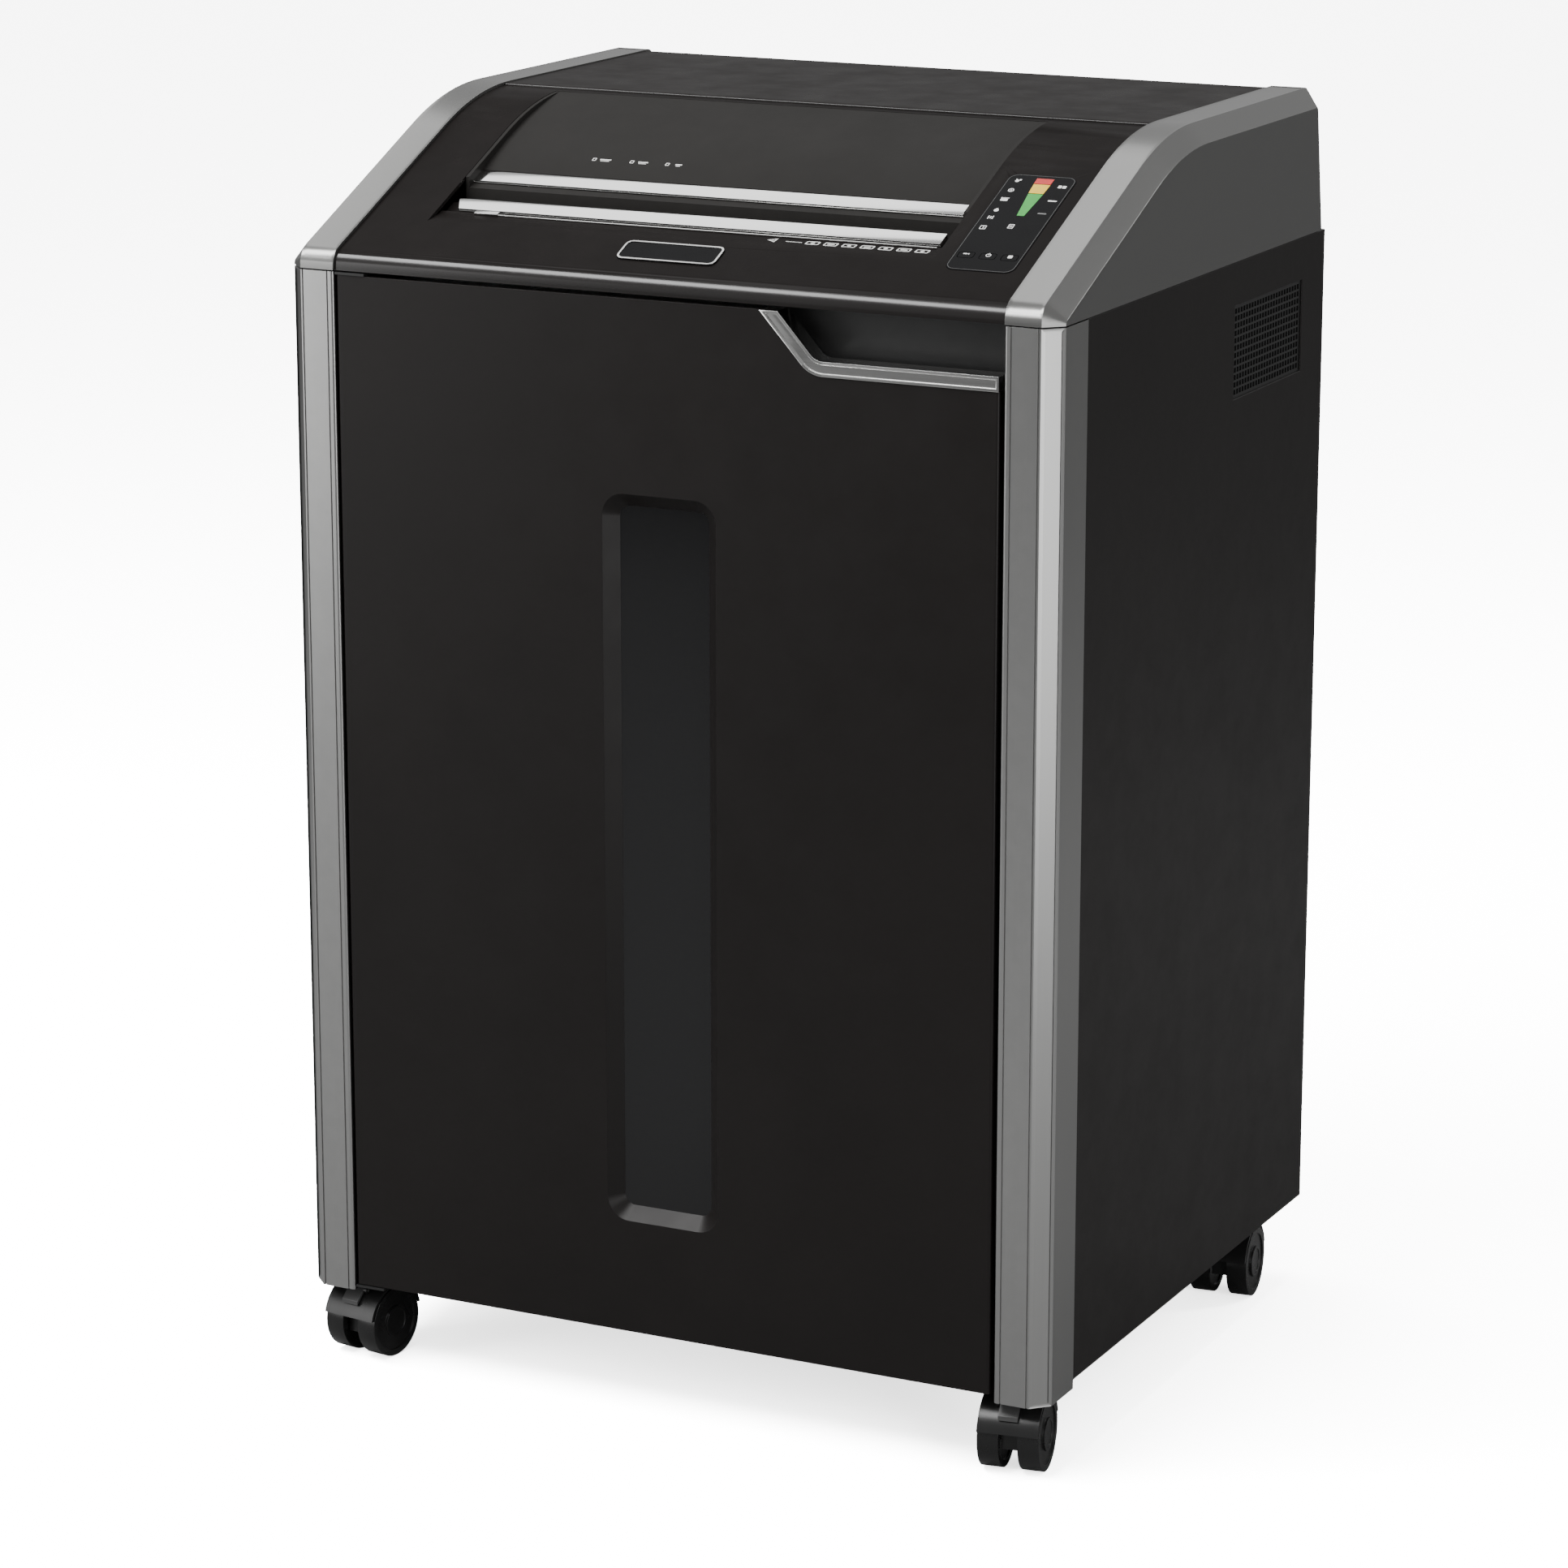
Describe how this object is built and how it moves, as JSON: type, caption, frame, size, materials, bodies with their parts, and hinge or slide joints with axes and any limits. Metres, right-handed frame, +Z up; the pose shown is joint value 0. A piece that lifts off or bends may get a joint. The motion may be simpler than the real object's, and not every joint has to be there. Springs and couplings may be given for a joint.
{
  "type": "paper shredder",
  "caption": "Free-standing office paper shredder on twin-wheel casters: black cabinet with hinged door, silver corner columns, and a sloped head with a wide entry, cutters, gears and motor.",
  "frame": {"origin": "on the floor, under the middle of the footprint", "axes": "+Z up, the door and the paper entry face -Y, +X to the right seen from the front"},
  "size_m": [0.67, 0.5628, 1.039],
  "materials": {
    "black_laminate": "satin black laminate on board",
    "side_laminate": "satin black laminate on board",
    "black_cover": "semi-gloss black moulding",
    "ramp_plastic": "fine matt dark grey moulding",
    "silver_cheek": "silver-grey metallic paint",
    "silver_column": "satin anodised extrusion",
    "polished_bar": "polished",
    "silver_trim": "brushed and fluted",
    "smoked_pane": "smoked gloss sheet",
    "panel_film": "black film with printed marks",
    "key_film": "satin black",
    "badge_silver": "black plate with silver rim",
    "steel_sheet": "zinc-plated sheet",
    "cutter_steel": "ground and oiled",
    "gear_steel": "machined",
    "bronze": "sintered bronze",
    "motor_paint": "die-cast, dark grey paint",
    "circuit_board": "green solder mask",
    "bin_plastic": "fine matt",
    "inlet_plastic": "matt black",
    "rocker_plastic": "gloss black",
    "vent_mesh": "black powder coat",
    "caster_plastic": "satin black nylon",
    "caster_tread": "black polyurethane",
    "lever_plastic": "grey nylon",
    "zinc_fastener": "zinc plated"
  },
  "bodies": {
    "cabinet": {"badge_plate": "badge_silver", "base_board": "black_laminate", "bin_runners": "bin_plastic", "caster_stems": "zinc_fastener", "cheek_left": "silver_cheek", "cheek_right": "silver_cheek", "column_left": "silver_column", "column_right": "silver_column", "control_board": "circuit_board", "control_panel": "panel_film", "cutter_bushes": "bronze", "door_pivots": "steel_sheet", "entry_ramp": "ramp_plastic", "frame_plate_left": "steel_sheet", "frame_plate_right": "steel_sheet", "front_cover": "black_cover", "front_guard": "steel_sheet", "handle_recess": "inlet_plastic", "interlock_switch": "inlet_plastic", "intermediate_axle": "gear_steel", "machine_deck": "steel_sheet", "motor_body": "motor_paint", "power_inlet": "inlet_plastic", "rear_cover": "black_cover", "rear_panel": "black_laminate", "rear_screws": "zinc_fastener", "side_panel_left": "side_laminate", "side_panel_right": "side_laminate", "stripper_combs": "steel_sheet", "throat_bar_lower": "polished_bar", "throat_bar_upper": "polished_bar", "throat_guides": "steel_sheet", "tie_rods": "steel_sheet", "top_cover": "black_cover", "vent_grilles": "vent_mesh", "waste_bin": "bin_plastic"},
    "door": {"door_panel": "black_laminate", "door_trim": "silver_trim", "door_window": "smoked_pane"},
    "key_reverse": {"key_reverse": "key_film"},
    "key_power": {"key_power": "key_film"},
    "key_forward": {"key_forward": "key_film"},
    "cutter_front": {"cutter_front": "cutter_steel", "timing_gear_front": "gear_steel"},
    "cutter_rear": {"cutter_rear": "cutter_steel", "timing_gear_rear": "gear_steel", "drive_gear": "gear_steel"},
    "intermediate_gear": {"intermediate_gear": "gear_steel"},
    "motor_rotor": {"motor_rotor": "gear_steel"},
    "power_rocker": {"power_rocker": "rocker_plastic"},
    "swivel_front_left": {"caster_hood_front_left": "caster_plastic"},
    "wheels_front_left": {"caster_wheels_front_left": "caster_tread"},
    "brake_lever_left": {"brake_lever_left": "lever_plastic"},
    "swivel_front_right": {"caster_hood_front_right": "caster_plastic"},
    "wheels_front_right": {"caster_wheels_front_right": "caster_tread"},
    "brake_lever_right": {"brake_lever_right": "lever_plastic"},
    "swivel_rear_left": {"caster_hood_rear_left": "caster_plastic"},
    "wheels_rear_left": {"caster_wheels_rear_left": "caster_tread"},
    "swivel_rear_right": {"caster_hood_rear_right": "caster_plastic"},
    "wheels_rear_right": {"caster_wheels_rear_right": "caster_tread"}
  },
  "joints": [
    {"name": "door_hinge", "type": "hinge", "parent": "cabinet", "child": "door", "pos_m": [-0.2855, -0.2754, 0.495], "axis": [0, 0, -1], "range_deg": [0, 100]},
    {"name": "key_reverse_press", "type": "slide", "parent": "cabinet", "child": "key_reverse", "axis": [0, 0.4067, -0.9135], "range_m": [0, 0.0008], "stiffness_N_per_m": 800, "springref_m": -0.0004},
    {"name": "key_power_press", "type": "slide", "parent": "cabinet", "child": "key_power", "axis": [0, 0.4067, -0.9135], "range_m": [0, 0.0008], "stiffness_N_per_m": 800, "springref_m": -0.0004},
    {"name": "key_forward_press", "type": "slide", "parent": "cabinet", "child": "key_forward", "axis": [0, 0.4067, -0.9135], "range_m": [0, 0.0008], "stiffness_N_per_m": 800, "springref_m": -0.0004},
    {"name": "cutter_rear_spin", "type": "hinge", "parent": "cabinet", "child": "cutter_rear", "pos_m": [-0.0145, -0.1455, 0.885], "axis": [1, 0, 0], "continuous": true},
    {"name": "cutter_front_spin", "type": "hinge", "parent": "cabinet", "child": "cutter_front", "pos_m": [-0.0145, -0.2015, 0.885], "axis": [1, 0, 0], "continuous": true},
    {"name": "intermediate_gear_spin", "type": "hinge", "parent": "cabinet", "child": "intermediate_gear", "pos_m": [-0.0145, -0.07662, 0.91712], "axis": [1, 0, 0], "continuous": true},
    {"name": "motor_rotor_spin", "type": "hinge", "parent": "cabinet", "child": "motor_rotor", "pos_m": [-0.0145, -0.02501, 0.88098], "axis": [1, 0, 0], "continuous": true},
    {"name": "power_rocker_tilt", "type": "hinge", "parent": "cabinet", "child": "power_rocker", "pos_m": [-0.2165, 0.2745, 0.855], "axis": [1, 0, 0], "range_deg": [0, 20]},
    {"name": "swivel_front_left", "type": "hinge", "parent": "cabinet", "child": "swivel_front_left", "pos_m": [-0.293, -0.2255, 0.06], "axis": [0, 0, 1], "continuous": true},
    {"name": "wheels_front_left", "type": "hinge", "parent": "swivel_front_left", "child": "wheels_front_left", "pos_m": [-0.29578, -0.2453, 0.03], "axis": [0.9903, -0.1392, 0], "continuous": true},
    {"name": "brake_left", "type": "hinge", "parent": "swivel_front_left", "child": "brake_lever_left", "pos_m": [-0.29849, -0.26456, 0.05994], "axis": [-0.9903, 0.1392, 0], "range_deg": [0, 20]},
    {"name": "swivel_front_right", "type": "hinge", "parent": "cabinet", "child": "swivel_front_right", "pos_m": [0.293, -0.2255, 0.06], "axis": [0, 0, 1], "continuous": true},
    {"name": "wheels_front_right", "type": "hinge", "parent": "swivel_front_right", "child": "wheels_front_right", "pos_m": [0.29613, -0.24525, 0.03], "axis": [0.9877, 0.1564, 0], "continuous": true},
    {"name": "brake_right", "type": "hinge", "parent": "swivel_front_right", "child": "brake_lever_right", "pos_m": [0.29917, -0.26446, 0.05994], "axis": [-0.9877, -0.1564, 0], "range_deg": [0, 20]},
    {"name": "swivel_rear_left", "type": "hinge", "parent": "cabinet", "child": "swivel_rear_left", "pos_m": [-0.293, 0.2255, 0.06], "axis": [0, 0, 1], "continuous": true},
    {"name": "wheels_rear_left", "type": "hinge", "parent": "swivel_rear_left", "child": "wheels_rear_left", "pos_m": [-0.29126, 0.20558, 0.03], "axis": [0.9962, 0.0872, 0], "continuous": true},
    {"name": "swivel_rear_right", "type": "hinge", "parent": "cabinet", "child": "swivel_rear_right", "pos_m": [0.293, 0.2255, 0.06], "axis": [0, 0, 1], "continuous": true},
    {"name": "wheels_rear_right", "type": "hinge", "parent": "swivel_rear_right", "child": "wheels_rear_right", "pos_m": [0.29509, 0.20561, 0.03], "axis": [0.9945, 0.1045, 0], "continuous": true}
  ],
  "couplings": [
    {"joint": "cutter_front_spin", "follows": "cutter_rear_spin", "ratio": -1},
    {"joint": "intermediate_gear_spin", "follows": "cutter_rear_spin", "ratio": -3.75},
    {"joint": "motor_rotor_spin", "follows": "cutter_rear_spin", "ratio": 18.75}
  ]
}
